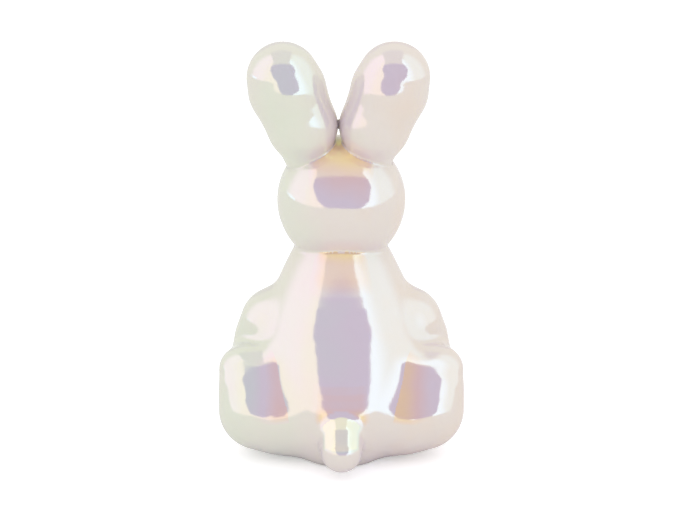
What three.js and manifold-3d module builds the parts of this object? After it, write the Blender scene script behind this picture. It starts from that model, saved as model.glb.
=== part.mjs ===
// A seated rabbit figurine, slip cast in white earthenware as separate hollow parts that are
// luted together with slip and fired under one pearl lustre glaze. Millimetres, +Z up. The rabbit
// faces -Y, its own left side is +X, and it stands at the middle of its own footprint.
// Every form is a skin stretched over a few balls, so that it looks blown up like a balloon.
import * as THREE from "three";
import { ConvexGeometry } from "three/addons/geometries/ConvexGeometry.js";
import { mergeVertices } from "three/addons/utils/BufferGeometryUtils.js";
import Module from "manifold-3d";

const wasm = await Module();
wasm.setup();

// Casting
const WALL = 3.4; // cast wall of the torso and head
const LIMB_WALL = 3.0; // cast wall of the luted limbs, ears and tail
const SEAM = 0.3; // slip line between luted parts
const VENT_RADIUS = 1.8; // firing vents pierced through the walls under luted parts
const GROUND_BITE = 0.6; // the depth that is rubbed flat where a limb meets the ground

// Torso: a pear on a flat, unglazed base, leaning forward
const BASE_FLAT_RADIUS = 16.5;
const BELLY_RADIUS = 34.6;
const WAIST_RISE = 10.7; // from the belly's centre up to the waist's
const WAIST_RADIUS = 34.4;
const CHEST_RISE = 11.6; // from the waist's centre up to the chest's
const CHEST_RADIUS = 32.6;
const SHOULDER_RISE = 14.2; // from the chest's centre up to the shoulders'
const SHOULDER_RADIUS = 26.8;
const CROWN_RISE = 8; // from the shoulders' centre up to the crown's, inside the head
const CROWN_RADIUS = 22.8;
const LEAN = 16.5; // degrees that the torso leans forward, level slice by level slice

// Head: a ball that sits round the torso's crown
const HEAD_RADIUS = 27.7;
const NECK_RADIUS = 19.8; // of the crease where the head meets the torso
const HEAD_BACK = 1; // behind the torso's middle line

// Ears: clubs that stand on the top of the head and touch each other just above it. Each ear
// measure called out, back or rise starts at the seat, which is on the head's skin.
const EARS_ASIDE = 1.2; // both ears are set this far to the rabbit's left
const EAR_SEAT_OUT = 13.5; // from the middle between the ears
const EAR_SEAT_BACK = 4.5;
const EAR_ROOT_DEPTH = 6.5;
const EAR_ROOT_RADIUS = 9;
const EAR_NECK_BACK = 0.7;
const EAR_NECK_RADIUS = 10.8;
const EAR_SWELL_OUT = 1.8;
const EAR_SWELL_BACK = 2;
const EAR_SWELL_RISE = 10.4;
const EAR_SWELL_RADIUS = 15.1;
const EAR_BLADE_OUT = 8.1;
const EAR_BLADE_BACK = 2.1;
const EAR_BLADE_RISE = 25.8;
const EAR_BLADE_RADIUS = 16.5;
const EAR_TIP_OUT = 9.9;
const EAR_TIP_BACK = 2.4;
const EAR_TIP_RISE = 31.3;
const EAR_TIP_RADIUS = 15.6;

// Face: a wide muzzle with a nose, and two eyes, all low relief
const MUZZLE_RADIUS = 9.6;
const MUZZLE_HALF_SPREAD = 4.6; // from the middle to the centre of each cheek
const MUZZLE_DROP = 8; // below the head's centre
const MUZZLE_PROUD = 6.6; // how far it stands out from the head's skin
const NOSE_RADIUS = 2.8;
const NOSE_HALF_SPREAD = 1.4;
const NOSE_RISE = 5.2; // above the muzzle's centre
const NOSE_PROUD = 2.4;
const EYE_RADIUS = 2.6;
const EYE_OUT = 10.2;
const EYE_RISE = 4.5; // above the head's centre
const EYE_PROUD = 1.5;

// Each limb ball is set round the torso: its turn from +X towards the back in degrees, the height
// of its centre or its drop below the ball before it, its radius, and how far it stands proud of
// the torso's skin. One with neither height nor drop rests on the ground.
// Arm: from the shoulder down to the elbow, then forward across the chest
const SHOULDER = { turn: -7.2, height: 53.2, radius: 15.4, proud: 10.7 };
const ELBOW = { turn: -14, drop: 8, radius: 13.2, proud: 13.4 };
const FOREARM = { turn: -30, drop: -0.7, radius: 12.4, proud: 10.8 };
const WRIST = { turn: -45, drop: 0.8, radius: 11.4, proud: 9.6 };
const PAW = { turn: -66, drop: 1.5, radius: 10.6, proud: 9 };
// Haunch: a broad cushion that the rabbit sits on, with its top under the arm
const RUMP = { turn: 17.4, height: 19.5, radius: 17.8, proud: 13.7 };
const HIP = { turn: 12.1, drop: -1.5, radius: 17.8, proud: 20.2 };
const HAUNCH_TOP = { turn: 16.3, drop: -14, radius: 14, proud: 11.7 };
const HAUNCH_FRONT = { turn: -21, radius: 16, proud: 17 };
// Knee: the bent leg outside the haunch, which runs forward and down to the foot
const KNEE_BACK_TOP = { turn: 12, height: 37.5, radius: 10.4, proud: 18.8 };
const KNEE_BACK = { turn: 13, drop: 4.5, radius: 11.5, proud: 18.6 };
const KNEE = { turn: -24, drop: 0.5, radius: 12.6, proud: 16.5 };
const SHIN = { turn: -44, drop: 9.5, radius: 11.2, proud: 14.5 };
// Foot: lies on the ground and points forward
const HEEL = { turn: -44, radius: 11.4, proud: 15.5 };
const TOE = { turn: -60, radius: 12.6, proud: 35 };
// Tail: a bob on a stub
const TAIL_STUB = { turn: 90, height: 17.6, radius: 9.2, proud: 6.4 };
const TAIL_BOB = { turn: 90, drop: 5, radius: 8.8, proud: 11.4 };

// Sides round each ball of a skin, inside and outside
const FINE_SIDES = 48;
const MIDDLING_SIDES = 24;
const COARSE_SIDES = 12;
const DRILL_SIDES = 8;
const SLAB_SIZE = 400; // wider and deeper than the figurine
const PROFILE_STEPS = 26; // of the torso's outline, from its lowest point to its highest
const SPINE_SAMPLES = 160; // balls up the torso's middle

const GLAZE = { color: 0xede8e0, roughness: 0.12, metalness: 0.0 };

const radians = THREE.MathUtils.degToRad;
const leg = (long, short) => Math.sqrt(Math.max(long * long - short * short, 0));
const ball = (x, y, z, r) => ({ at: new THREE.Vector3(x, y, z), r });

// A geometry's solid, for cutting.
function solidOf(geometry) {
  geometry.deleteAttribute("normal");
  geometry.deleteAttribute("uv");
  const merged = mergeVertices(geometry, 1e-4);
  return new wasm.Manifold(
    new wasm.Mesh({
      numProp: 3,
      vertProperties: merged.attributes.position.array,
      triVerts: new Uint32Array(merged.index.array),
    }),
  );
}

// The skin over one ball, or drawn tight over a few.
function skinOver(balls, grow, sides) {
  const spheres = balls.map(({ at, r }) =>
    new THREE.SphereGeometry(r + grow, sides, sides / 2)
      .rotateX(Math.PI / 2)
      .translate(at.x, at.y, at.z),
  );
  if (balls.length === 1) return solidOf(spheres[0]);
  const points = spheres.flatMap(({ attributes: { position } }) =>
    Array.from({ length: position.count }, (_, i) =>
      new THREE.Vector3().fromBufferAttribute(position, i),
    ),
  );
  return solidOf(new ConvexGeometry(points));
}

// Every form below is a function that gives its solid, grown by some distance, with so many sides.
const balloon = (groups, sides) => (grow, fineness = sides) =>
  groups.map((group) => skinOver(group, grow, fineness)).reduce((a, b) => a.add(b));
const row = (balls) => balls.slice(1).map((next, i) => [balls[i], next]);

// The ground, and all that lies beyond the plane that parts the ears, as seats. Grown by the slip
// line, the ground comes up to no height, and the other ear's side to half a line past its plane.
const slab = (x, z) =>
  solidOf(new THREE.BoxGeometry(SLAB_SIZE, SLAB_SIZE, SLAB_SIZE).translate(x, 0, z));
const ground = (grow) => slab(0, grow - SEAM - SLAB_SIZE / 2);
const otherEar = (side) => (grow) =>
  slab(EARS_ASIDE + side * (grow - SEAM / 2 - SLAB_SIZE / 2), 0);

// A round drill from one point to another.
function drill(from, to) {
  const turn = new THREE.Quaternion().setFromUnitVectors(
    new THREE.Vector3(0, 1, 0),
    to.clone().sub(from).normalize(),
  );
  const middle = from.clone().add(to).multiplyScalar(0.5);
  return solidOf(
    new THREE.CylinderGeometry(VENT_RADIUS, VENT_RADIUS, from.distanceTo(to), DRILL_SIDES)
      .applyQuaternion(turn)
      .translate(middle.x, middle.y, middle.z),
  );
}

// The torso's balls stand one over another. Its skin is turned round them, then leans.
const bellyHeight = leg(BELLY_RADIUS, BASE_FLAT_RADIUS);
const waistHeight = bellyHeight + WAIST_RISE;
const chestHeight = waistHeight + CHEST_RISE;
const shoulderHeight = chestHeight + SHOULDER_RISE;
const crownHeight = shoulderHeight + CROWN_RISE;
const torsoSpine = new THREE.CatmullRomCurve3(
  [
    new THREE.Vector3(BELLY_RADIUS, 0, bellyHeight),
    new THREE.Vector3(WAIST_RADIUS, 0, waistHeight),
    new THREE.Vector3(CHEST_RADIUS, 0, chestHeight),
    new THREE.Vector3(SHOULDER_RADIUS, 0, shoulderHeight),
    new THREE.Vector3(CROWN_RADIUS, 0, crownHeight),
  ],
  false,
  "catmullrom",
);
const torsoBalls = torsoSpine.getPoints(SPINE_SAMPLES).map((p) => ball(0, 0, p.z, p.x));

// How far back the torso's middle line is at a height. It leans about the belly's centre.
const leanSlope = Math.tan(radians(LEAN));
const torsoBack = (height) => (bellyHeight - height) * leanSlope;
const leaning = new THREE.Matrix4().makeShear(0, 0, 0, 0, 0, -leanSlope);

// The torso's radius at a height: the widest reach there of the balls up its middle.
const torsoRadius = (height, grow = 0) =>
  Math.max(...torsoBalls.map(({ at, r }) => leg(r + grow, Math.abs(height - at.z))));

function torso(grow, sides = FINE_SIDES) {
  const lowest = bellyHeight - BELLY_RADIUS - grow;
  const highest = crownHeight + CROWN_RADIUS + grow;
  const outline = [];
  for (let i = 0; i <= PROFILE_STEPS; i++) {
    const share = (1 - Math.cos((Math.PI * i) / PROFILE_STEPS)) / 2;
    const height = THREE.MathUtils.lerp(lowest, highest, share);
    const atPole = i === 0 || i === PROFILE_STEPS;
    outline.push(new THREE.Vector2(atPole ? 0 : torsoRadius(height, grow), height));
  }
  const upright = new THREE.LatheGeometry(outline, sides).rotateX(Math.PI / 2);
  return solidOf(upright.applyMatrix4(leaning).translate(0, torsoBack(0), 0));
}

// Head
const neckHeight = crownHeight + leg(CROWN_RADIUS, NECK_RADIUS);
const headHeight = neckHeight + leg(HEAD_RADIUS, NECK_RADIUS);
const headCentre = new THREE.Vector3(0, torsoBack(headHeight) + HEAD_BACK, headHeight);
const headBall = balloon([[{ at: headCentre, r: HEAD_RADIUS }]], FINE_SIDES);

// The balls of a limb, set round the torso one after another.
function limbBalls(...places) {
  const balls = [];
  for (const { turn, height, drop, radius, proud } of places) {
    const z = height ?? (drop === undefined ? radius - GROUND_BITE : balls.at(-1).at.z - drop);
    const reach = torsoRadius(z) + proud - radius;
    const back = torsoBack(z) + reach * Math.sin(radians(turn));
    balls.push(ball(reach * Math.cos(radians(turn)), back, z, radius));
  }
  return balls;
}

// A ball set on the front of the head: its distance out, its height over the head's centre, its
// radius and how far it stands proud of the head's skin.
function faceBall(out, up, radius, proud) {
  const way = new THREE.Vector3(out, -leg(HEAD_RADIUS, Math.hypot(out, up)), up).normalize();
  return { at: headCentre.clone().addScaledVector(way, HEAD_RADIUS + proud - radius), r: radius };
}

const earSeatHeight = headHeight + leg(HEAD_RADIUS, Math.hypot(EAR_SEAT_OUT, EAR_SEAT_BACK));
const earBall = (out, back, up, r) =>
  ball(EAR_SEAT_OUT + out, headCentre.y + EAR_SEAT_BACK + back, earSeatHeight + up, r);
const earBalls = [
  earBall(0, 0, -EAR_ROOT_DEPTH, EAR_ROOT_RADIUS),
  earBall(0, EAR_NECK_BACK, 0, EAR_NECK_RADIUS),
  earBall(EAR_SWELL_OUT, EAR_SWELL_BACK, EAR_SWELL_RISE, EAR_SWELL_RADIUS),
  earBall(EAR_BLADE_OUT, EAR_BLADE_BACK, EAR_BLADE_RISE, EAR_BLADE_RADIUS),
  earBall(EAR_TIP_OUT, EAR_TIP_BACK, EAR_TIP_RISE, EAR_TIP_RADIUS),
];

// Two like balls side by side across the middle of the face
const pairAcross = (halfSpread, { y, z }, radius) =>
  [-1, 1].map((side) => ball(side * halfSpread, y, z, radius));
const muzzleMiddle = faceBall(0, -MUZZLE_DROP, MUZZLE_RADIUS, MUZZLE_PROUD).at;
const muzzlePair = pairAcross(MUZZLE_HALF_SPREAD, muzzleMiddle, MUZZLE_RADIUS);
const muzzle = balloon([muzzlePair], MIDDLING_SIDES);
const noseForward = leg(MUZZLE_RADIUS, NOSE_RISE) + NOSE_PROUD - NOSE_RADIUS;
const noseMiddle = muzzleMiddle.clone().add(new THREE.Vector3(0, -noseForward, NOSE_RISE));
const nose = balloon([pairAcross(NOSE_HALF_SPREAD, noseMiddle, NOSE_RADIUS)], COARSE_SIDES);

// The balls of the limbs on the rabbit's left, in the groups that one skin is drawn over
const armBalls = limbBalls(SHOULDER, ELBOW, FOREARM, WRIST, PAW);
const legBalls = limbBalls(KNEE_BACK_TOP, KNEE_BACK, KNEE, SHIN);
const limbGroups = {
  ear: row(earBalls),
  eye: [[faceBall(EYE_OUT, EYE_RISE, EYE_RADIUS, EYE_PROUD)]],
  arm: [armBalls.slice(0, 3), ...row(armBalls.slice(2))],
  haunch: [limbBalls(RUMP, HIP, HAUNCH_TOP, HAUNCH_FRONT)],
  knee: [legBalls.slice(0, 3), legBalls.slice(2)],
  foot: [limbBalls(HEEL, TOE)],
};
const tailGroups = [limbBalls(TAIL_STUB, TAIL_BOB)];

// The groups on one side of the rabbit, shifted across by aside.
const onSide = (groups, side, aside = 0) =>
  groups.map((group) => group.map(({ at, r }) => ball(aside + side * at.x, at.y, at.z, r)));

// The vent under a limb runs level from the torso's middle line, past the centre of the last ball
// that the limb's first skin is drawn over.
function ventUnder([firstGroup]) {
  const { at, r } = firstGroup.at(-1);
  const near = new THREE.Vector3(0, torsoBack(at.z), at.z);
  const out = at.clone().sub(near);
  return drill(near, near.clone().add(out.setLength(out.length() + r / 2)));
}

// A hollow casting: its skin cut back from its seats by the slip line, less a hollow that stays a
// wall's thickness inside both, less the vents that open the hollow.
function casting(skin, wall, seats, vents) {
  const seated = (solid, grow, sides) =>
    seats.reduce((rest, seat) => rest.subtract(seat(grow, sides)), solid);
  const hollow = seated(skin(-wall, COARSE_SIDES), SEAM + wall, COARSE_SIDES);
  const clay = seated(skin(0), SEAM).subtract(hollow);
  return vents.reduce((rest, vent) => rest.subtract(vent), clay);
}

// A small solid piece, pressed on to its seats.
const pressing = (skin, seats) =>
  seats.reduce((rest, seat) => rest.subtract(seat(SEAM)), skin(0));

function add(name, solid, parent) {
  const mesh = solid.getMesh();
  const geometry = new THREE.BufferGeometry();
  geometry.setAttribute("position", new THREE.BufferAttribute(mesh.vertProperties, 3));
  geometry.setIndex(new THREE.BufferAttribute(mesh.triVerts, 1));
  geometry.computeVertexNormals();
  const piece = new THREE.Mesh(geometry, new THREE.MeshStandardMaterial(GLAZE));
  piece.name = name;
  parent.add(piece);
}

const body = new THREE.Group();
const head = new THREE.Group();
const torsoMiddle = new THREE.Vector3(0, 0, bellyHeight);
const overBase = new THREE.Vector3(0, torsoBack(0), bellyHeight);
const baseVent = drill(overBase, new THREE.Vector3(0, torsoBack(0), -WALL));
const neckVent = drill(torsoMiddle, headCentre);
const tailVent = ventUnder(tailGroups);
const torsoVents = [baseVent, neckVent, tailVent];
const headVents = [neckVent];

for (const [word, side] of [
  ["left", 1],
  ["right", -1],
]) {
  const earGroups = onSide(limbGroups.ear, side, EARS_ASIDE);
  const earVent = drill(headCentre, earGroups[1][1].at);
  headVents.push(earVent);
  const ear = balloon(earGroups, MIDDLING_SIDES);
  add(`ear_${word}`, casting(ear, LIMB_WALL, [headBall, otherEar(side)], [earVent]), head);
  const eye = balloon(onSide(limbGroups.eye, side), COARSE_SIDES);
  add(`eye_${word}`, pressing(eye, [headBall]), head);

  const seats = [ground, torso];
  for (const limb of ["haunch", "knee", "foot", "arm"]) {
    const groups = onSide(limbGroups[limb], side);
    const vent = ventUnder(groups);
    torsoVents.push(vent);
    const skin = balloon(groups, MIDDLING_SIDES);
    add(`${limb}_${word}`, casting(skin, LIMB_WALL, seats, [vent]), body);
    seats.push(skin);
  }
}
add("torso", casting(torso, WALL, [ground], torsoVents), body);
const tail = balloon(tailGroups, MIDDLING_SIDES);
add("tail", casting(tail, LIMB_WALL, [torso], [tailVent]), body);
add("head", casting(headBall, WALL, [torso], headVents), head);
add("muzzle", pressing(muzzle, [headBall]), head);
add("nose", pressing(nose, [headBall, muzzle]), head);

const figurine = new THREE.Group();
figurine.name = "rabbit_figurine";
figurine.add(body, head);

// The figurine's frame starts under the middle of its own box.
const box = new THREE.Box3().setFromObject(figurine);
figurine.position.y = -(box.min.y + box.max.y) / 2;

export default figurine;
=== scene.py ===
"""A seated rabbit figurine in pearl glaze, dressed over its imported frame.

Metres, +Z up. The rabbit faces -Y and its own left side is +X. Every form is a skin drawn over a
few balls. A field gives how far a point is outside a skin, the fields run into one another with
a fillet of glaze, and each piece lies where rays from its own middle meet the joined field.
"""
import math

import bpy
import numpy as np
from bpy.props import FloatProperty, FloatVectorProperty, PointerProperty
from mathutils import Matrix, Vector


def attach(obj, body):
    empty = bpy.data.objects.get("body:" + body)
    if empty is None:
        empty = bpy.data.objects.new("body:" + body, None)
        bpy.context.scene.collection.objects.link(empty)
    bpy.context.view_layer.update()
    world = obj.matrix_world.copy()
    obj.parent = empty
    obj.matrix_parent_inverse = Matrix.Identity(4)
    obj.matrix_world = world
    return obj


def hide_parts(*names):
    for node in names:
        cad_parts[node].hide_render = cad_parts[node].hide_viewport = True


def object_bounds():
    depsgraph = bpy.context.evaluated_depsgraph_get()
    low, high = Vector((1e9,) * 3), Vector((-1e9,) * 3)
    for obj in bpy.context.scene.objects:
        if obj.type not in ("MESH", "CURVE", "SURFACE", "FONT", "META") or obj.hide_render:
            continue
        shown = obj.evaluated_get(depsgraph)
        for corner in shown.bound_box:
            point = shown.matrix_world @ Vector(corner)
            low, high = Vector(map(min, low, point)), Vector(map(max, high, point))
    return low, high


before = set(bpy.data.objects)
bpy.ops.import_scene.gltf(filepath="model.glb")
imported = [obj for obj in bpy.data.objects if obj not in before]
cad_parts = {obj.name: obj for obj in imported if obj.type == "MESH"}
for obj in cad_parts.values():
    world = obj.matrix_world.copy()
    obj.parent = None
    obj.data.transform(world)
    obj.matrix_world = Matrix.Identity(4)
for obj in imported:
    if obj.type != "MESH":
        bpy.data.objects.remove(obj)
FRAME_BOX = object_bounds()

bl_info = {
    "name": "Pearl glazed rabbit figurine",
    "version": (1, 0, 0),
    "blender": (4, 5, 0),
    "location": "View3D > Sidebar > Rabbit",
    "description": "Builds the glazed rabbit, its lustre and the studio that it stands in",
    "category": "Add Mesh",
}

MM = 0.001
BODY = "root"
GLAZE_NAME = "pearl lustre glaze"
WHITE = (1.0, 1.0, 1.0, 1.0)
HALVINGS = 18  # of the stretch of ray that the skin is looked for in
DIP = 150.0  # how steeply a piece sinks under its neighbour, per metre
SLOPE_STEP = 0.05 * MM  # of the points that a normal is measured over


# Sizes


def length(name, about, millimetres):
    return FloatProperty(name=name, description=about, default=millimetres * MM, unit="LENGTH")


def angle(name, about, degrees):
    return FloatProperty(
        name=name, description=about, default=math.radians(degrees), subtype="ANGLE"
    )


def number(name, about, default):
    return FloatProperty(name=name, description=about, default=default)


def colour(name, about, default):
    return FloatVectorProperty(name=name, description=about, default=default, subtype="COLOR")


def limb_ball(name, turn, height, radius, proud):
    """A ball set round the torso: degrees from +X to the back, and its height, radius and
    stand-out from the torso's skin in millimetres. A height of 0 rests it on the ground."""
    return FloatVectorProperty(
        name=name,
        description="Turn round the torso in degrees, then height, radius and stand-out in mm",
        size=4,
        default=(turn, height, radius, proud),
    )


class RabbitBodySizes(bpy.types.PropertyGroup):
    base_flat_radius: length("Base flat", "Radius of the flat that the torso stands on", 16.5)
    belly_radius: length("Belly", "Radius of the torso's lowest ball", 34.6)
    waist_rise: length("Waist rise", "From the belly's centre up to the waist's", 10.7)
    waist_radius: length("Waist", "Radius of the torso at the waist", 34.4)
    chest_rise: length("Chest rise", "From the waist's centre up to the chest's", 11.6)
    chest_radius: length("Chest", "Radius of the torso at the chest", 32.6)
    shoulder_rise: length("Shoulder rise", "From the chest's centre up to the shoulders'", 14.2)
    shoulder_radius: length("Shoulders", "Radius of the torso at the shoulders", 26.8)
    crown_rise: length("Crown rise", "From the shoulders' centre up to the crown's", 8.0)
    crown_radius: length("Crown", "Radius of the torso's top, inside the head", 22.8)
    lean: angle("Lean", "How far the torso leans forward", 16.5)
    set_back: length("Set back", "From the frame's middle back to the belly's centre", 4.523)
    head_radius: length("Head", "Radius of the head", 27.7)
    neck_radius: length("Neck", "Radius of the crease between head and torso", 19.8)
    head_back: length("Head back", "Behind the torso's middle line", 1.0)
    muzzle_radius: length("Muzzle", "Radius of each cheek of the muzzle", 9.6)
    muzzle_half_spread: length("Muzzle spread", "From the middle to each cheek", 4.6)
    muzzle_drop: length("Muzzle drop", "Below the head's centre", 8.0)
    muzzle_proud: length("Muzzle stand-out", "From the head's skin", 6.6)
    nose_radius: length("Nose", "Radius of each end of the nose", 2.8)
    nose_half_spread: length("Nose spread", "From the middle to each end", 1.4)
    nose_rise: length("Nose rise", "Above the muzzle's centre", 5.2)
    nose_proud: length("Nose stand-out", "From the muzzle's skin", 2.4)
    eye_radius: length("Eye", "Radius of each eye", 2.6)
    eye_out: length("Eye out", "From the middle of the face", 10.2)
    eye_rise: length("Eye rise", "Above the head's centre", 4.5)
    eye_proud: length("Eye stand-out", "From the head's skin", 1.5)
    ground_bite: length("Ground bite", "Depth that is rubbed flat where a limb stands", 0.6)


class RabbitEarSizes(bpy.types.PropertyGroup):
    aside: length("Aside", "How far both ears are set to the rabbit's left", 1.2)
    seat_out: length("Seat out", "From the middle between the ears", 13.5)
    seat_back: length("Seat back", "Behind the head's centre", 4.5)
    root_depth: length("Root depth", "Of the root's centre under the head's skin", 6.5)
    root_radius: length("Root", "Radius of the ear inside the head", 9.0)
    neck_back: length("Neck back", "Behind the seat", 0.7)
    neck_radius: length("Neck", "Radius of the ear at the seat", 10.8)
    swell_out: length("Swell out", "Outside the seat", 1.8)
    swell_back: length("Swell back", "Behind the seat", 2.0)
    swell_rise: length("Swell rise", "Above the seat", 10.4)
    swell_radius: length("Swell", "Radius where the ears touch", 15.1)
    blade_out: length("Blade out", "Outside the seat", 8.1)
    blade_back: length("Blade back", "Behind the seat", 2.1)
    blade_rise: length("Blade rise", "Above the seat", 25.8)
    blade_radius: length("Blade", "Radius of the ear half way up", 16.5)
    tip_out: length("Tip out", "Outside the seat", 9.9)
    tip_back: length("Tip back", "Behind the seat", 2.4)
    tip_rise: length("Tip rise", "Above the seat", 31.3)
    tip_radius: length("Tip", "Radius of the ear's tip", 15.6)


class RabbitLimbSizes(bpy.types.PropertyGroup):
    shoulder: limb_ball("Shoulder", -7.2, 53.2, 15.4, 10.7)
    elbow: limb_ball("Elbow", -14, 45.2, 13.2, 13.4)
    forearm: limb_ball("Forearm", -30, 45.9, 12.4, 10.8)
    wrist: limb_ball("Wrist", -45, 45.1, 11.4, 9.6)
    paw: limb_ball("Paw", -66, 43.6, 10.6, 9.0)
    rump: limb_ball("Rump", 17.4, 19.5, 17.8, 13.7)
    hip: limb_ball("Hip", 12.1, 21.0, 17.8, 20.2)
    haunch_top: limb_ball("Haunch top", 16.3, 35.0, 14.0, 11.7)
    haunch_front: limb_ball("Haunch front", -21, 0, 16.0, 17.0)
    knee_back_top: limb_ball("Knee back, top", 12, 37.5, 10.4, 18.8)
    knee_back: limb_ball("Knee back", 13, 33.0, 11.5, 18.6)
    knee: limb_ball("Knee", -24, 32.5, 12.6, 16.5)
    shin: limb_ball("Shin", -44, 23.0, 11.2, 14.5)
    heel: limb_ball("Heel", -44, 0, 11.4, 15.5)
    toe: limb_ball("Toe", -60, 0, 12.6, 35.0)
    tail_stub: limb_ball("Tail stub", 90, 17.6, 9.2, 6.4)
    tail_bob: limb_ball("Tail bob", 90, 12.6, 8.8, 11.4)


class RabbitGlaze(bpy.types.PropertyGroup):
    haunch_fillet: length("Haunch fillet", "Glaze in the crease of the haunch", 8.0)
    knee_fillet: length("Knee fillet", "Glaze in the crease of the knee", 6.0)
    foot_fillet: length("Foot fillet", "Glaze in the crease of the foot", 5.0)
    arm_fillet: length("Arm fillet", "Glaze in the crease of the arm", 5.0)
    tail_fillet: length("Tail fillet", "Glaze in the crease of the tail", 3.0)
    head_fillet: length("Neck fillet", "Glaze in the crease of the neck", 1.8)
    ear_fillet: length("Ear fillet", "Glaze in the crease of the ears", 1.0)
    cleft_fillet: length("Cleft fillet", "Glaze between the two ears", 0.6)
    face_fillet: length("Face fillet", "Glaze round the muzzle, nose and eyes", 2.0)
    ground_fillet: length("Foot ring", "Round of the edge that is rubbed flat", 0.8)
    ripple_height: length("Ripple", "How far the cast skin wavers", 0.07)
    ripple_length: length("Ripple length", "Shortest wave of the cast skin", 17.0)
    pearl: colour("Pearl", "The lustre as it was brushed on", (0.83, 0.71, 0.88))
    # Rose, apricot and cream are reached only where painted reflection and shade thicken the
    # lustre; thin mostly where the painted highlight lightens the top of the tail.
    rose: colour("Rose", "The lustre where it starts to thicken", (0.90, 0.64, 0.70))
    apricot: colour("Apricot", "The lustre where it pools", (1.0, 0.72, 0.50))
    sky: colour("Sky", "The lustre where it is thin", (0.77, 0.775, 0.86))
    cream: colour("Cream", "The lustre where it is thickest", (1.0, 0.84, 0.84))
    thin: colour("Thin", "The lustre where it is thinnest", (1.0, 0.90, 0.82))
    reflection: colour("Reflection", "Tint of what the lustre mirrors", (0.92, 1.0, 0.25))
    index: number("Index", "Refractive index that the lustre acts with", 3.0)
    roughness: number("Roughness", "Of the fired glaze", 0.09)
    clay: colour("Bare clay", "The foot ring without glaze", (0.86, 0.82, 0.76))


class RabbitStudio(bpy.types.PropertyGroup):
    focal_length: number("Focal length", "Of the camera, in millimetres", 112.1)
    distance: length("Distance", "From the camera to the point that it looks at", 900.0)
    elevation: angle("Elevation", "Of the camera above the floor", 18.0)
    look_height: length("Look height", "Of the point that the camera looks at", 86.0)
    look_aside: length("Look aside", "Of that point, to the rabbit's left", 0.55)
    floor_size: length("Floor", "Length of each side of the floor", 6000.0)
    floor_colour: colour("Floor colour", "The white table", (0.95, 0.95, 0.95))
    ambient: number("Room light", "Light of the white room on the rabbit", 0.95)
    table_glow: number("Table glow", "Light that only the camera sees the table give", 0.38)
    walls: colour("Walls", "The room, as the glaze mirrors it", (0.97, 0.97, 0.97))
    strip: colour("Strip", "The room's dark strip", (0.05, 0.05, 0.055))
    left_light: colour("Left light", "Soft light to the rabbit's left", (1.60, 1.32, 2.2))
    left_end: colour("Left end", "The left light at its far end", (1.60, 1.30, 3.2))
    right_light: colour("Right light", "Soft light to its right", (1.50, 1.90, 6.0))
    right_end: colour("Right end", "The right light at its far end", (1.20, 1.38, 2.8))


# Balls, as rows of x, y, z and radius


def leg(long, short):
    """The third side of a right-angled triangle, or nothing where the long side is the shorter."""
    return math.sqrt(max(long * long - short * short, 0.0))


def mirrored(balls):
    return [ball * np.array([-1.0, 1.0, 1.0, 1.0]) for ball in balls]


def shifted(balls, aside):
    return [ball + np.array([aside, 0.0, 0.0, 0.0]) for ball in balls]


class Torso:
    """Balls up a line that leans: the line's slices move back by the tangent of the lean for each
    step down from the belly's centre. A smooth cubic runs the radii from ball to ball."""

    STEPS = 4  # between one named ball and the next

    def __init__(self, body):
        belly = leg(body.belly_radius, body.base_flat_radius)
        waist = belly + body.waist_rise
        chest = waist + body.chest_rise
        shoulder = chest + body.shoulder_rise
        crown = shoulder + body.crown_rise
        named = np.array(
            [
                (body.belly_radius, belly),
                (body.waist_radius, waist),
                (body.chest_radius, chest),
                (body.shoulder_radius, shoulder),
                (body.crown_radius, crown),
            ]
        )
        padded = np.vstack([2 * named[0] - named[1], named, 2 * named[-1] - named[-2]])
        t = np.linspace(0, 1, self.STEPS, endpoint=False)[:, None]
        spans = [self.span(padded[i : i + 4], t) for i in range(len(named) - 1)]
        self.radii, self.heights = np.vstack([*spans, named[-1]]).T
        self.slope = math.tan(body.lean)
        self.belly = belly
        self.crown = crown
        self.set_back = body.set_back

    @staticmethod
    def span(four, t):
        """The cubic between the middle two whose slopes there are half the gaps round them."""
        before, start, end, after = four
        a, b = (end - before) / 2, (after - start) / 2
        return (
            start
            + a * t
            + (3 * (end - start) - 2 * a - b) * t**2
            + (2 * (start - end) + a + b) * t**3
        )

    def back(self, height):
        return self.set_back + (self.belly - height) * self.slope

    def radius(self, height):
        """The reach at a height of the ball that reaches out furthest there."""
        return max(leg(r, abs(height - z)) for r, z in zip(self.radii, self.heights))

    def field(self, points):
        """The least of the cone fields between neighbouring balls, over the upright torso."""
        out = np.hypot(points[:, 0], points[:, 1] - self.back(points[:, 2]))
        balls = list(zip(self.heights, self.radii))
        cones = [
            cone_reach(out, points[:, 2] - low, high - low, r_low, r_high)
            for (low, r_low), (high, r_high) in zip(balls, balls[1:])
        ]
        return np.min(cones, axis=0)

    def place(self, limb, bite):
        """The ball that a limb's turn, height, radius and stand-out give. One that rests on the
        ground sinks in by the bite."""
        turn = math.radians(limb[0])
        height, radius, proud = (size * MM for size in limb[1:])
        z = height if height > 0 else radius - bite
        reach = self.radius(z) + proud - radius
        y = self.back(z) + reach * math.sin(turn)
        return np.array([reach * math.cos(turn), y, z, radius])


# Fields: how far each point is outside a skin


def ramp_up(values, start, end):
    """A soft step from 0 at the start to 1 at the end: three squares less two cubes."""
    part = np.clip((values - start) / (end - start), 0, 1)
    return part * part * (3 - 2 * part)


def cone_reach(out, rise, long, r_first, r_second):
    """Outside two balls on a line and all those between them: the nearest ball's centre lies
    past the point's foot on the line by out times slope over the cosine, held to the line's
    ends, and the field is the distance to that centre less the ball's radius."""
    slope = (r_first - r_second) / long
    foot = np.clip(rise - out * slope / math.sqrt(1 - slope * slope), 0, long)
    return np.hypot(out, rise - foot) - r_first + slope * foot


def ball_field(points, ball):
    """The distance to the ball's centre less its radius."""
    return np.linalg.norm(points - ball[:3], axis=1) - ball[3]


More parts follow.
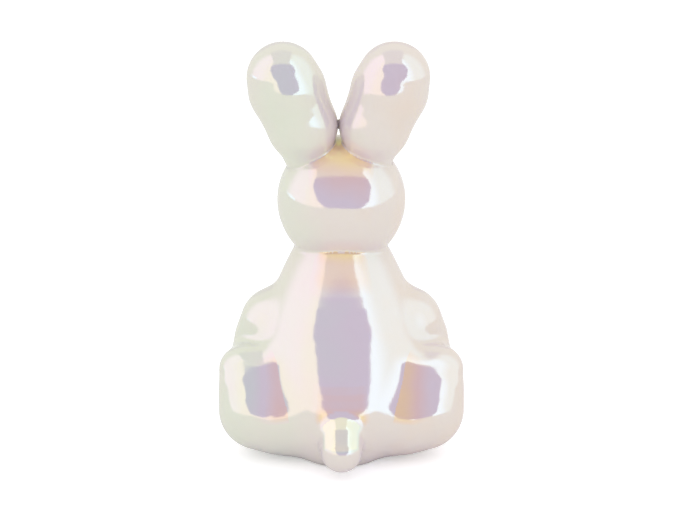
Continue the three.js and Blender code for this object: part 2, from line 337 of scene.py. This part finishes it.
def cone_field(points, first, second):
    """The cone reach round the line from the first ball's centre to the second's."""
    along = second[:3] - first[:3]
    long = np.linalg.norm(along)
    offset = points - first[:3]
    rise = offset @ (along / long)
    out = np.sqrt(np.maximum(np.einsum("ij,ij->i", offset, offset) - rise * rise, 0))
    return cone_reach(out, rise, long, first[3], second[3])


def wedge_field(points, first, second, third):
    """Outside three balls and all those between them. With g the slope of the radius over the
    balls' plane and h the height over it, the nearest centre lies g times D from the point's
    foot, D being h over the root of 1 less g squared. Past an edge the edge's cone is nearest."""
    sides = np.array([second[:3] - first[:3], third[:3] - first[:3]])
    normal = np.cross(sides[0], sides[1])
    normal /= np.linalg.norm(normal)
    gram = sides @ sides.T
    slope = np.linalg.solve(gram, np.array([second[3], third[3]]) - first[3]) @ sides
    offset = points - first[:3]
    height = offset @ normal
    reach = np.abs(height) / math.sqrt(1 - slope @ slope)
    foot = offset - height[:, None] * normal + reach[:, None] * slope
    weights = np.linalg.solve(gram, sides @ foot.T)
    inside = (weights >= 0).all(axis=0) & (weights.sum(axis=0) <= 1)
    edges = np.minimum(
        np.minimum(cone_field(points, first, second), cone_field(points, second, third)),
        cone_field(points, third, first),
    )
    return np.where(inside, reach - first[3] - foot @ slope, edges)


def hull_field(points, four):
    """Outside four balls and all those between them: the least of the wedges on their faces."""
    a, b, c, d = four
    faces = [(a, b, c), (a, b, d), (a, c, d), (b, c, d)]
    return np.min([wedge_field(points, *face) for face in faces], axis=0)


def joined(first, second, fillet):
    """The lesser field, less a fillet: a quarter of its width where both are equal, falling with
    the square to nothing where they differ by the width."""
    near = np.maximum(fillet - np.abs(first - second), 0) / fillet
    return np.minimum(first, second) - near * near * fillet / 4


def row_field(points, balls, softness):
    """The cones between neighbouring balls in a row, joined with a soft bend."""
    field = cone_field(points, balls[0], balls[1])
    for first, second in zip(balls[1:], balls[2:]):
        field = joined(field, cone_field(points, first, second), softness)
    return field


def ripple_waves(shortest, count=9):
    """Seeded wave vectors whose lengths run from the shortest wave to three times it."""
    random = np.random.default_rng(11)
    ways = random.normal(size=(count, 3))
    ways /= np.linalg.norm(ways, axis=1, keepdims=True)
    lengths = shortest * np.linspace(1, 3, count)[:, None]
    return ways * 2 * math.pi / lengths, random.uniform(0, 2 * math.pi, count)


# The rabbit


class Rabbit:
    """All the forms' balls and fields, from the sizes."""

    LIMBS = ("haunch", "knee", "foot", "arm")
    BEND = 4 * MM  # softness of a limb's own bends
    EAR_BEND = 1.5 * MM  # softness of an ear's, whose cones run on almost straight
    EAR_TRIM = EAR_BEND / 5  # takes off again what those soft bends add all over the ear
    FLATNESS = 0.45  # how far the head's back is drawn in, as a share
    FLAT_DEPTH = 0.6  # behind the head's centre, in its radii, where that share is reached
    FLAT_WIDTH = 0.58  # from the middle, in its radii, where it is down to about a third

    def __init__(self, scene):
        body, ears, limbs = scene.rabbit_body, scene.rabbit_ears, scene.rabbit_limbs
        self.glaze = scene.rabbit_glaze
        self.torso = Torso(body)
        neck = self.torso.crown + leg(body.crown_radius, body.neck_radius)
        height = neck + leg(body.head_radius, body.neck_radius)
        back = self.torso.back(height) + body.head_back
        self.head = np.array([0.0, back, height, body.head_radius])
        bite = body.ground_bite
        left = {
            name: [self.torso.place(getattr(limbs, ball), bite) for ball in balls]
            for name, balls in {
                "haunch": ("rump", "hip", "haunch_top", "haunch_front"),
                "knee": ("knee_back_top", "knee_back", "knee", "shin"),
                "foot": ("heel", "toe"),
                "arm": ("shoulder", "elbow", "forearm", "wrist", "paw"),
            }.items()
        }
        ear = self.ear_balls(ears)
        self.balls = {
            "tail": [self.torso.place(ball, bite) for ball in (limbs.tail_stub, limbs.tail_bob)],
            "head": [self.head],
            "ear_left": shifted(ear, ears.aside),
            "ear_right": shifted(mirrored(ear), ears.aside),
        }
        for name, balls in left.items():
            self.balls[name + "_left"] = balls
            self.balls[name + "_right"] = mirrored(balls)
        self.add_face(body)
        self.waves, self.phases = ripple_waves(self.glaze.ripple_length)

    def ear_balls(self, ears):
        """Balls up the left ear, measured from its seat, the point of the head's skin that it
        stands on."""
        seat = self.head[2] + leg(self.head[3], math.hypot(ears.seat_out, ears.seat_back))
        rows = [
            (0, 0, -ears.root_depth, ears.root_radius),
            (0, ears.neck_back, 0, ears.neck_radius),
            (ears.swell_out, ears.swell_back, ears.swell_rise, ears.swell_radius),
            (ears.blade_out, ears.blade_back, ears.blade_rise, ears.blade_radius),
            (ears.tip_out, ears.tip_back, ears.tip_rise, ears.tip_radius),
        ]
        return [
            np.array([ears.seat_out + x, self.head[1] + ears.seat_back + y, seat + z, r])
            for x, y, z, r in rows
        ]

    def on_face(self, out, up, radius, proud):
        """A ball on the front of the head, standing out from its skin."""
        way = np.array([out, -leg(self.head[3], math.hypot(out, up)), up])
        way /= np.linalg.norm(way)
        return np.append(self.head[:3] + way * (self.head[3] + proud - radius), radius)

    def add_face(self, body):
        across = np.array([1.0, 0, 0, 0])
        cheek = self.on_face(0, -body.muzzle_drop, body.muzzle_radius, body.muzzle_proud)
        forward = leg(body.muzzle_radius, body.nose_rise) + body.nose_proud - body.nose_radius
        tip = cheek + np.array([0, -forward, body.nose_rise, 0])
        tip[3] = body.nose_radius
        spread, narrow = body.muzzle_half_spread * across, body.nose_half_spread * across
        eye = self.on_face(body.eye_out, body.eye_rise, body.eye_radius, body.eye_proud)
        self.balls["muzzle"] = [cheek - spread, cheek + spread]
        self.balls["nose"] = [tip - narrow, tip + narrow]
        self.balls["eye_left"] = [eye]
        self.balls["eye_right"] = mirrored([eye])

    def own_field(self, name, points):
        """How far points are outside one form, before it is joined to the others."""
        kind = name.split("_")[0]
        if kind == "torso":
            return self.torso.field(points)
        balls = self.balls[name]
        if kind == "head":
            return ball_field(self.squeezed(points), balls[0])
        if kind == "eye":
            return ball_field(points, balls[0])
        if kind == "haunch":
            return hull_field(points, balls)
        if kind == "knee":
            thigh = wedge_field(points, *balls[:3])
            return joined(thigh, cone_field(points, balls[2], balls[3]), self.BEND)
        if kind == "arm":
            upper = wedge_field(points, *balls[:3])
            return joined(upper, row_field(points, balls[2:], self.BEND), self.BEND)
        if kind == "ear":
            return row_field(points, balls, self.EAR_BEND) + self.EAR_TRIM
        return cone_field(points, *balls)

    def squeezed(self, points):
        """Points behind the head's centre, drawn towards the middle plane by a share that grows
        softly backwards and falls with a bell curve of their distance from the plane. A ball
        that is measured so has a fuller, flatter back."""
        back = ramp_up(points[:, 1] - self.head[1], 0, self.FLAT_DEPTH * self.head[3])
        out = points[:, 0] / (self.FLAT_WIDTH * self.head[3])
        drawn = points.copy()
        drawn[:, 0] *= 1 - self.FLATNESS * back * np.exp(-out * out)
        return drawn

    def fillet(self, name):
        """The width of the glaze in the crease round a form."""
        kind = name.split("_")[0]
        face = kind in ("muzzle", "nose", "eye")
        return getattr(self.glaze, ("face" if face else kind) + "_fillet")

    def neighbours(self, name):
        """The forms that meet this one, itself among them, in the order they are luted on."""
        kind, _, side = name.partition("_")
        limbs = [f"{limb}_{side}" for limb in self.LIMBS]
        both = [f"{limb}_{way}" for way in ("left", "right") for limb in self.LIMBS]
        if kind == "torso":
            return ["torso", *both, "tail", "head"]
        if kind in self.LIMBS:
            return ["torso", *limbs]
        if kind == "tail":
            return ["torso", "tail"]
        if kind == "head":
            return ["torso", "head", "ear_left", "ear_right", "muzzle", "eye_left", "eye_right"]
        if kind == "ear":
            return ["head", "ear_left", "ear_right"]
        if kind == "eye":
            return ["head", name]
        return ["head", "muzzle", "nose"]

    def ripple(self, points):
        """The sum of the seeded waves, each with an equal share of the ripple's height."""
        waves = np.sin(points @ self.waves.T + self.phases)
        return waves.mean(axis=1) * self.glaze.ripple_height * math.sqrt(len(self.phases))

    def measure(self, name, points):
        """The joined field at the points, and how much nearer this form is than its next
        neighbour. The two ears are joined before the head takes them, the ripple is added, and
        the ground cuts the field off with a small round."""
        order = self.neighbours(name)
        fields = {form: self.own_field(form, points) for form in order}
        field = fields[order[0]]
        for form in order[1:]:
            if form == "ear_left":
                both = joined(fields[form], fields["ear_right"], self.glaze.cleft_fillet)
                field = joined(field, both, self.glaze.ear_fillet)
            elif form != "ear_right":
                field = joined(field, fields[form], self.fillet(form))
        rest = np.min([fields[form] for form in order if form != name], axis=0)
        rounded = -joined(-field - self.ripple(points), points[:, 2], self.glaze.ground_fillet)
        return rounded, rest - fields[name]

    def normals(self, name, points):
        """The joined field's slope, from four points round each one at a cube's corners."""
        corners = np.array([(1, -1, -1), (-1, -1, 1), (-1, 1, -1), (1, 1, 1)], float)
        slope = sum(
            corner * self.measure(name, points + corner * SLOPE_STEP)[0][:, None]
            for corner in corners
        )
        return slope / np.linalg.norm(slope, axis=1, keepdims=True)


def ray_ways(columns, rows):
    """Unit vectors to a globe's grid: the top pole, the rows from the top down, the lower pole."""
    down = np.linspace(0, math.pi, rows + 1)[1:-1, None]
    around = np.linspace(0, 2 * math.pi, columns, endpoint=False)[None, :]
    x = np.sin(down) * np.cos(around)
    y = np.sin(down) * np.sin(around)
    z = np.cos(down) + 0 * around
    grid = np.stack([x, y, z], axis=-1).reshape(-1, 3)
    return np.vstack([(0, 0, 1), grid, (0, 0, -1)])


def globe_faces(columns, rows):
    """Quads between the rows of a globe's grid, and a fan of triangles at each pole."""
    column = np.arange(columns)
    following = (column + 1) % columns
    first_row = 1 + column
    last = 1 + (rows - 2) * columns
    top = np.stack([np.zeros_like(column), first_row, 1 + following], axis=1)
    foot = np.stack([last + column, np.full(columns, last + columns), last + following], axis=1)
    starts = 1 + np.arange(rows - 2)[:, None] * columns
    quads = np.stack(
        [
            starts + column,
            starts + columns + column,
            starts + columns + following,
            starts + following,
        ],
        axis=-1,
    ).reshape(-1, 4)
    return [*top.tolist(), *quads.tolist(), *foot.tolist()]


def glazed_piece(name, columns, rows):
    """Each vertex lies where a ray from the form's middle crosses the joined field, found by
    halving. Past the crease the field is raised by the square of how far the neighbour is
    nearer, so that the piece sinks out of sight under it. Normals are the joined field's own."""
    rabbit = Rabbit(bpy.context.scene)
    if name == "torso":
        heights = rabbit.torso.heights
        middle_height = (heights[0] + heights[-1]) / 2
        middle = np.array([0, rabbit.torso.back(middle_height), middle_height])
    else:
        middle = np.mean([ball[:3] for ball in rabbit.balls[name]], axis=0)
    ways = ray_ways(columns, rows)
    near = np.zeros(len(ways))
    half_diagonal = (FRAME_BOX[1] - FRAME_BOX[0]).length / 2
    far = np.full(len(ways), half_diagonal)
    for _ in range(HALVINGS):
        half = (near + far) / 2
        field, lead = rabbit.measure(name, middle + ways * half[:, None])
        outside = field + DIP * np.minimum(lead, 0) ** 2 > 0
        far = np.where(outside, half, far)
        near = np.where(outside, near, half)
    points = middle + ways * half[:, None]
    normals = rabbit.normals(name, points)
    # Painted light: reflection, shade and highlight, laid on each vertex as extra lustre
    # thickness.
    pool = painted_light_amount(name.split("_")[0], points / MM, normals, lead / MM)
    return add_mesh("glazed_" + name, points, globe_faces(columns, rows), normals, pool)


def add_mesh(name, points, faces, normals, pool):
    mesh = bpy.data.meshes.new(name)
    mesh.from_pydata(points.tolist(), [], faces)
    mesh.polygons.foreach_set("use_smooth", np.ones(len(faces), bool))
    # The painted light, per vertex.
    mesh.attributes.new("pool", "FLOAT", "POINT").data.foreach_set("value", pool)
    mesh.normals_split_custom_set_from_vertices(normals.tolist())
    piece = bpy.data.objects.new(name, mesh)
    bpy.context.scene.collection.objects.link(piece)
    return piece


# Painted light, laid on as thicker lustre: rose and apricot tones that stand in for painted
# reflection on the back, which faces the camera, and painted shade under the head and in creases,
# and a lighter painted highlight on the top of the tail. A tilt is the upward part of the normal,
# 0 on a wall and
# 1 on a level top. Other measures are millimetres.

CREASE_REACH = 4  # from a crease to where its painted shade is down to about a third
BACK_EDGE = 0.44  # sideways part of the normal at which the painted reflection on the back ends
BACK_FULL = 0.3  # backward part of the normal from which they are full
SLOPE = 0.42  # tilt at which the haunches and ears take the most painted light
SLOPE_REACH = 0.34  # how far from that tilt they take none
HEAD_PAINTED_REFLECTION = [(0.16, 0.05), (0.62, 0.4), (0.79, 0.72)]  # tilts, and the amount at each
LOW_BACK_PAINTED_REFLECTION = [(0.04, 0), (0.12, 0.75), (0.17, 0.7), (0.28, 0.3), (0.34, 0)]
LOW_BACK_SIDES = (13, 8)  # from the middle, where that painted reflection begins and where it is full
NECK_PAINTED_SHADE, NECK_CREASE_PAINTED_SHADE = 0.45, 0.32  # painted shade under the head, and more beside the crease
NECK_HEIGHTS = (70, 79)  # where the painted shade under the head begins and where it is full
HAUNCH_PAINTED_REFLECTION = 0.6
HAUNCH_SIDES = (39, 25)  # from the middle, where that painted reflection begins and where it is full
EAR_PAINTED_SHADE = 0.8
TAIL_PAINTED_HIGHLIGHT = 0.45  # painted highlight: how far the top of the tail is lightened towards the thin cream tone
TAIL_TILTS = (0.2, 0.45)  # where that painted highlight begins and where it is full


def painted_light_amount(kind, points, normals, lead):
    """Painted reflection on the back, which faces the camera, where a form slopes; painted shade
    under the neck and beside a crease; and a painted highlight on the top of the tail. The lead is
    how much nearer the form is than its neighbour."""
    out, height = np.abs(points[:, 0]), points[:, 2]
    aside, tilt = normals[:, 0], normals[:, 2]
    # Painted reflection: full where the normal points back, towards the camera, and not far aside.
    back = (1 - np.clip(aside / BACK_EDGE, -1, 1) ** 4) * ramp_up(normals[:, 1], 0, BACK_FULL)
    sloping = 1 - np.clip((tilt - SLOPE) / SLOPE_REACH, -1, 1) ** 4
    crease = np.exp(-((np.maximum(lead, 0) / CREASE_REACH) ** 2))
    if kind == "head":
        return back * np.interp(tilt, *zip(*HEAD_PAINTED_REFLECTION))
    if kind == "torso":
        # Painted shade under the head, deepest beside the crease, and painted reflection low on
        # the back.
        painted_neck_shade = ramp_up(height, *NECK_HEIGHTS) * (NECK_PAINTED_SHADE + NECK_CREASE_PAINTED_SHADE * crease)
        low = np.interp(tilt, *zip(*LOW_BACK_PAINTED_REFLECTION)) * ramp_up(out, *LOW_BACK_SIDES)
        return back * (painted_neck_shade + low)
    if kind == "haunch":
        return HAUNCH_PAINTED_REFLECTION * ramp_up(out, *HAUNCH_SIDES) * sloping * back
    if kind == "ear":
        return EAR_PAINTED_SHADE * crease * sloping * back
    if kind == "tail":
        # Painted highlight: the top of the tail is lightened.
        return -TAIL_PAINTED_HIGHLIGHT * ramp_up(tilt, *TAIL_TILTS)
    return np.zeros(len(points))


# Glaze

BRUSHED = 0.13  # the lustre's thickness as it was brushed on, where 1 is the thickest
DRIFT = 0.26  # how much more lies on it in slow patches
SPECKLE = 0.06  # how much more lies on it in fine flecks
SLANT = -4.0  # how its thickness changes towards the rabbit's left, per metre
SLANT_REACH = 24 * MM  # from the middle to where that change ends
PAINTED_LIGHT_GAIN = 0.64  # how much full painted light adds to the thickness
TONES = [(0.14, "sky"), (0.31, "pearl"), (0.36, "pearl")]  # thicknesses and their colours
TONES += [(0.56, "rose"), (0.78, "apricot"), (0.95, "cream")]
SATIN = 0.05  # how much rougher the glaze is on its flecks than between them
SATIN_LOW = 0.02  # how much smoother it is between them than the roughness given
CLAY_ROUGHNESS = 0.8
CLAY_HEIGHTS = (0.1 * MM, 0.5 * MM)  # over which the clay gives way to glaze
PATCH_SCALE, FLECK_SCALE, PIT_SCALE = 32.0, 130.0, 900.0  # of the noises, per metre
PIT_DEPTH = 0.2 * MM


class Nodes:
    """Adds the nodes of one tree and links them: a value that is a socket becomes a link."""

    def __init__(self, tree):
        self.tree = tree
        tree.nodes.clear()

    def add(self, kind, settings=None, **inputs):
        """A node with its inputs by name, where an underscore stands for a space."""
        node = self.tree.nodes.new(kind)
        for key, value in (settings or {}).items():
            setattr(node, key, value)
        for key, value in inputs.items():
            self.put(node, key.replace("_", " "), value)
        return node

    def fill(self, kind, values, settings=None):
        """A node with its inputs in their order."""
        node = self.add(kind, settings)
        for place, value in enumerate(values):
            self.put(node, place, value)
        return node

    def put(self, node, socket, value):
        into = node.inputs[socket]
        if isinstance(value, bpy.types.NodeSocket):
            self.tree.links.new(value, into)
        else:
            into.default_value = value

    def maths(self, operation, *values):
        return self.fill("ShaderNodeMath", values, {"operation": operation}).outputs[0]

    def times(self, product, *factors):
        for factor in factors:
            product = self.maths("MULTIPLY", product, factor)
        return product

    def blend(self, factor, first, second):
        node = self.add("ShaderNodeMix", {"data_type": "RGBA"})
        for socket, value in ((0, factor), (6, first), (7, second)):
            self.put(node, socket, value)
        return node.outputs[2]

    def smooth(self, value, low, high, to_low=0.0, to_high=1.0):
        """A soft step of a value from low to high."""
        kind, settings = "ShaderNodeMapRange", {"interpolation_type": "SMOOTHSTEP"}
        return self.fill(kind, (value, low, high, to_low, to_high), settings).outputs[0]

    def turning(self, angle, low, high, to_low=0.0, to_high=1.0):
        """A soft step of an angle, from low to high in degrees."""
        return self.smooth(angle, math.radians(low), math.radians(high), to_low, to_high)


def rgba(values):
    return (*values, 1.0)


def lustre_thickness(n, place, across, flecks):
    """What was brushed on, with slow patches and fine flecks, plus a slant held to the middle of
    the rabbit, plus the painted light: painted reflection, painted shade and a painted highlight."""
    drift = n.add("ShaderNodeTexNoise", Vector=place, Scale=PATCH_SCALE, Detail=2.0)
    patchy = n.maths("MULTIPLY_ADD", drift.outputs["Fac"], DRIFT, BRUSHED)
    flecked = n.maths("MULTIPLY_ADD", flecks, SPECKLE, patchy)
    aside = n.maths("MAXIMUM", n.maths("MINIMUM", across, SLANT_REACH), -SLANT_REACH)
    slanted = n.maths("MULTIPLY_ADD", aside, SLANT, flecked)
    # Painted light from the mesh's attribute.
    pool = n.add("ShaderNodeAttribute", {"attribute_name": "pool"}).outputs["Fac"]
    return n.maths("MULTIPLY_ADD", pool, PAINTED_LIGHT_GAIN, slanted)


def lustre_tone(n, thickness, glaze):
    """The lustre's colour runs with its thickness from sky through pearl and rose to apricot;
    rose, apricot and cream come only where painted reflection and shade thicken it.
    """
    ramp = n.add("ShaderNodeValToRGB", Fac=thickness)
    stops = ramp.color_ramp.elements
    stops[0].color, stops[1].color = rgba(glaze.thin), rgba(glaze.cream)
    for position, tone in TONES:
        stops.new(position).color = rgba(getattr(glaze, tone))
    return ramp.outputs["Color"]


def glaze_material(glaze):
    """Pearl lustre over white earthenware. Fine pits and flecks break the gloss, and the foot
    ring, where the rabbit is rubbed flat on the ground, is bare clay."""
    material = bpy.data.materials.new(GLAZE_NAME)
    material.use_nodes = True
    n = Nodes(material.node_tree)
    place = n.add("ShaderNodeTexCoord").outputs["Object"]
    across, _, height = n.add("ShaderNodeSeparateXYZ", Vector=place).outputs
    flecks = n.add(
        "ShaderNodeTexNoise", Vector=place, Scale=FLECK_SCALE, Detail=3.0, Roughness=0.6
    ).outputs["Fac"]
    # The tone carries the painted light through the lustre's thickness.
    tone = lustre_tone(n, lustre_thickness(n, place, across, flecks), glaze)
    bare = n.smooth(height, *CLAY_HEIGHTS, 1.0, 0.0)
    satin = n.maths("MULTIPLY_ADD", flecks, SATIN, glaze.roughness - SATIN_LOW)
    pits = n.add("ShaderNodeTexNoise", Vector=place, Scale=PIT_SCALE, Detail=1.0).outputs["Fac"]
    pitting = n.add("ShaderNodeBump", Height=pits, Strength=0.05, Distance=PIT_DEPTH)
    shader = n.add(
        "ShaderNodeBsdfPrincipled",
        Base_Color=n.blend(bare, tone, rgba(glaze.clay)),
        Roughness=n.maths("MAXIMUM", satin, n.maths("MULTIPLY", bare, CLAY_ROUGHNESS)),
        IOR=glaze.index,
        Specular_Tint=rgba(glaze.reflection),
        Normal=pitting.outputs["Normal"],
    )
    n.add("ShaderNodeOutputMaterial", Surface=shader.outputs["BSDF"])
    return material


# Operators


class GlazeOperator:
    """Builds the pieces named in PIECES, each with its columns and rows of rays."""

    bl_options = {"REGISTER", "UNDO"}
    PIECES = {}

    def execute(self, context):
        material = bpy.data.materials.get(GLAZE_NAME)
        if material is None:
            material = glaze_material(context.scene.rabbit_glaze)
        for name, (columns, rows) in self.PIECES.items():
            piece = glazed_piece(name, columns, rows)
            piece.data.materials.append(material)
            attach(piece, BODY)
            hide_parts(name)
        return {"FINISHED"}


class RABBIT_OT_torso(GlazeOperator, bpy.types.Operator):
    """Builds the torso"""

    bl_idname = "rabbit.torso"
    bl_label = "Torso"
    PIECES = {"torso": (288, 200)}


class RABBIT_OT_head(GlazeOperator, bpy.types.Operator):
    """Builds the head"""

    bl_idname = "rabbit.head"
    bl_label = "Head"
    PIECES = {"head": (256, 160)}


class RABBIT_OT_ears(GlazeOperator, bpy.types.Operator):
    """Builds both ears"""

    bl_idname = "rabbit.ears"
    bl_label = "Ears"
    PIECES = {"ear_left": (176, 144), "ear_right": (176, 144)}


class RABBIT_OT_face(GlazeOperator, bpy.types.Operator):
    """Builds the muzzle, nose and eyes"""

    bl_idname = "rabbit.face"
    bl_label = "Face"
    PIECES = {
        "muzzle": (144, 96),
        "nose": (72, 48),
        "eye_left": (64, 40),
        "eye_right": (64, 40),
    }


class RABBIT_OT_arms(GlazeOperator, bpy.types.Operator):
    """Builds both arms"""

    bl_idname = "rabbit.arms"
    bl_label = "Arms"
    PIECES = {"arm_left": (192, 144), "arm_right": (192, 144)}


class RABBIT_OT_haunches(GlazeOperator, bpy.types.Operator):
    """Builds both haunches"""

    bl_idname = "rabbit.haunches"
    bl_label = "Haunches"
    PIECES = {"haunch_left": (192, 144), "haunch_right": (192, 144)}


class RABBIT_OT_legs(GlazeOperator, bpy.types.Operator):
    """Builds both knees and feet"""

    bl_idname = "rabbit.legs"
    bl_label = "Knees and feet"
    PIECES = {
        "knee_left": (160, 128),
        "knee_right": (160, 128),
        "foot_left": (144, 112),
        "foot_right": (144, 112),
    }


class RABBIT_OT_tail(GlazeOperator, bpy.types.Operator):
    """Builds the tail"""

    bl_idname = "rabbit.tail"
    bl_label = "Tail"
    PIECES = {"tail": (128, 112)}


class RABBIT_OT_studio(bpy.types.Operator):
    """Builds the white table, the light and the camera"""

    bl_idname = "rabbit.studio"
    bl_label = "Studio"
    bl_options = {"REGISTER", "UNDO"}

    def execute(self, context):
        studio = context.scene.rabbit_studio
        add_table(studio)
        light_room(context.scene, studio)
        add_camera(context.scene, studio)
        context.scene.view_settings.view_transform = "Standard"
        return {"FINISHED"}


def add_table(studio):
    half = studio.floor_size / 2
    corners = [(-half, -half, 0), (half, -half, 0), (half, half, 0), (-half, half, 0)]
    mesh = bpy.data.meshes.new("table")
    mesh.from_pydata(corners, [], [(0, 1, 2, 3)])
    table = bpy.data.objects.new("table", mesh)
    bpy.context.scene.collection.objects.link(table)
    material = bpy.data.materials.new("white table")
    material.use_nodes = True
    n = Nodes(material.node_tree)
    seen = n.add("ShaderNodeLightPath").outputs["Is Camera Ray"]
    matt = n.add("ShaderNodeBsdfDiffuse", Color=rgba(studio.floor_colour))
    glow = n.add("ShaderNodeEmission", Strength=n.maths("MULTIPLY", seen, studio.table_glow))
    both = n.fill("ShaderNodeAddShader", (matt.outputs[0], glow.outputs[0]))
    n.add("ShaderNodeOutputMaterial", Surface=both.outputs[0])
    mesh.materials.append(material)


# The dark strip of the room starts at the horizon behind the rabbit and runs over the top. At
# each turn over the top its sides lean out from the middle by a second angle, both in degrees.
STRIP_LEFT = [(0, 15), (5, 21), (12, 28), (28, 34), (42, 38), (56, 32), (66, 26), (180, 28)]
STRIP_RIGHT = [(0, 22), (5, 30), (12, 38), (28, 40), (42, 42), (54, 34), (64, 21), (180, 20)]
LIGHT_END = (45, 75)  # turns round from behind over which a light takes its end's colour
STRIP_EDGE = 1.5  # half the width of its soft edge, in degrees
HIGH_STRIP = 0.3  # what is left of its darkness high up behind the rabbit
FRONT_STRIP = 0.22  # and in front of the rabbit


def light_room(scene, studio):
    """A white room with a dark strip between two soft lights, one each side of the camera. Only
    what the glaze mirrors is the room: the camera sees white, and all other light is white."""
    world = bpy.data.worlds.new("white room")
    scene.world = world
    world.use_nodes = True
    n = Nodes(world.node_tree)
    way = n.add("ShaderNodeTexCoord").outputs["Generated"]
    x, y, z = n.add("ShaderNodeSeparateXYZ", Vector=way).outputs
    aside, rise = n.maths("ARCSINE", x), n.maths("ARCSINE", z)
    over, turn = n.maths("ARCTAN2", z, y), n.maths("ARCTAN2", x, y)
    strip, left, right = room_masks(n, aside, over, rise, turn)
    left_end = n.turning(turn, *LIGHT_END)
    right_end = n.turning(n.maths("MULTIPLY", turn, -1.0), *LIGHT_END)
    left_light = n.blend(left_end, rgba(studio.left_light), rgba(studio.left_end))
    right_light = n.blend(right_end, rgba(studio.right_light), rgba(studio.right_end))
    room = n.blend(left, rgba(studio.walls), left_light)
    room = n.blend(right, room, right_light)
    room = n.blend(strip, room, rgba(studio.strip))
    ray = n.add("ShaderNodeLightPath").outputs
    plain = n.add("ShaderNodeBackground", Color=WHITE, Strength=studio.ambient).outputs[0]
    mirrored = n.add("ShaderNodeBackground", Color=room).outputs[0]
    seen = n.add("ShaderNodeBackground", Color=WHITE).outputs[0]
    lit = n.fill("ShaderNodeMixShader", (ray["Is Glossy Ray"], plain, mirrored)).outputs[0]
    shown = n.fill("ShaderNodeMixShader", (ray["Is Camera Ray"], lit, seen)).outputs[0]
    n.add("ShaderNodeOutputWorld", Surface=shown)


def room_masks(n, aside, over, rise, turn):
    """Masks over the sky: the dark strip, which fades out overhead and comes back faintly in
    front, and the two soft lights beside it, from below the horizon up to above the camera and
    round to the rabbit's sides."""
    share_over = n.maths("DIVIDE", over, math.pi)
    left_side = side_curve(n, share_over, STRIP_LEFT)
    right_side = n.maths("MULTIPLY", side_curve(n, share_over, STRIP_RIGHT), -1.0)
    left = n.turning(n.maths("SUBTRACT", aside, left_side), -STRIP_EDGE, STRIP_EDGE)
    right = n.turning(n.maths("SUBTRACT", right_side, aside), -STRIP_EDGE, STRIP_EDGE)
    between = n.maths("SUBTRACT", n.maths("SUBTRACT", 1.0, left), right)
    above_horizon = n.turning(over, -4, -1)
    behind = n.turning(over, 54, 61, 1.0, HIGH_STRIP)
    up_to_overhead = n.turning(over, 104, 118, 1.0, 0.0)
    in_front = n.turning(over, 145, 155)
    above_floor = n.turning(over, 176, 179, FRONT_STRIP, 0.0)
    dark = n.maths("ADD", n.times(behind, up_to_overhead), n.times(in_front, above_floor))
    lit_low = n.turning(rise, -16, -2)
    lit_high = n.turning(rise, 60, 72, 1.0, 0.0)
    lit_round = n.turning(n.maths("ABSOLUTE", turn), 98, 126, 1.0, 0.0)
    lit = n.times(lit_low, lit_high, lit_round)
    return n.times(between, above_horizon, dark), n.times(left, lit), n.times(right, lit)


def side_curve(n, share_over, side):
    """Runs straight from point to point through the given turns over the top and leans."""
    curve = n.add("ShaderNodeFloatCurve", Value=share_over)
    points = curve.mapping.curves[0].points
    places = [(over / 180, aside / 90) for over, aside in side]
    points[0].location, points[1].location = places[0], places[-1]
    for place in places[1:-1]:
        points.new(*place)
    for point in points:
        point.handle_type = "VECTOR"
    curve.mapping.update()
    return n.maths("MULTIPLY", curve.outputs[0], math.pi / 2)


def add_camera(scene, studio):
    data = bpy.data.cameras.new("camera")
    data.lens = studio.focal_length
    camera = bpy.data.objects.new("camera", data)
    scene.collection.objects.link(camera)
    look = Vector((studio.look_aside, scene.rabbit_body.set_back, studio.look_height))
    away = Vector((0, math.cos(studio.elevation), math.sin(studio.elevation)))
    camera.location = look + away * studio.distance
    camera.rotation_euler = (-away).to_track_quat("-Z", "Y").to_euler()
    scene.camera = camera


class RABBIT_PT_panel(bpy.types.Panel):
    """Lists the pieces and their sizes"""

    bl_label = "Pearl rabbit"
    bl_idname = "RABBIT_PT_panel"
    bl_space_type = "VIEW_3D"
    bl_region_type = "UI"
    bl_category = "Rabbit"

    def draw(self, context):
        for operator in OPERATORS:
            self.layout.operator(operator.bl_idname)
        for group in PROPERTY_GROUPS:
            box = self.layout.box()
            box.label(text=group)
            settings = getattr(context.scene, group)
            for name in settings.bl_rna.properties.keys():
                if name not in ("rna_type", "name"):
                    box.prop(settings, name)


OPERATORS = (
    RABBIT_OT_torso,
    RABBIT_OT_head,
    RABBIT_OT_ears,
    RABBIT_OT_face,
    RABBIT_OT_arms,
    RABBIT_OT_haunches,
    RABBIT_OT_legs,
    RABBIT_OT_tail,
    RABBIT_OT_studio,
)
PROPERTY_GROUPS = {
    "rabbit_body": RabbitBodySizes,
    "rabbit_ears": RabbitEarSizes,
    "rabbit_limbs": RabbitLimbSizes,
    "rabbit_glaze": RabbitGlaze,
    "rabbit_studio": RabbitStudio,
}


def register():
    for group in PROPERTY_GROUPS.values():
        bpy.utils.register_class(group)
    for name, group in PROPERTY_GROUPS.items():
        setattr(bpy.types.Scene, name, PointerProperty(type=group))
    for operator in OPERATORS:
        bpy.utils.register_class(operator)
    bpy.utils.register_class(RABBIT_PT_panel)


def unregister():
    bpy.utils.unregister_class(RABBIT_PT_panel)
    for operator in reversed(OPERATORS):
        bpy.utils.unregister_class(operator)
    for name in PROPERTY_GROUPS:
        delattr(bpy.types.Scene, name)
    for group in PROPERTY_GROUPS.values():
        bpy.utils.unregister_class(group)


def main():
    register()
    bpy.ops.rabbit.torso()
    bpy.ops.rabbit.head()
    bpy.ops.rabbit.ears()
    bpy.ops.rabbit.face()
    bpy.ops.rabbit.arms()
    bpy.ops.rabbit.haunches()
    bpy.ops.rabbit.legs()
    bpy.ops.rabbit.tail()
    bpy.ops.rabbit.studio()


if __name__ == "__main__":
    main()
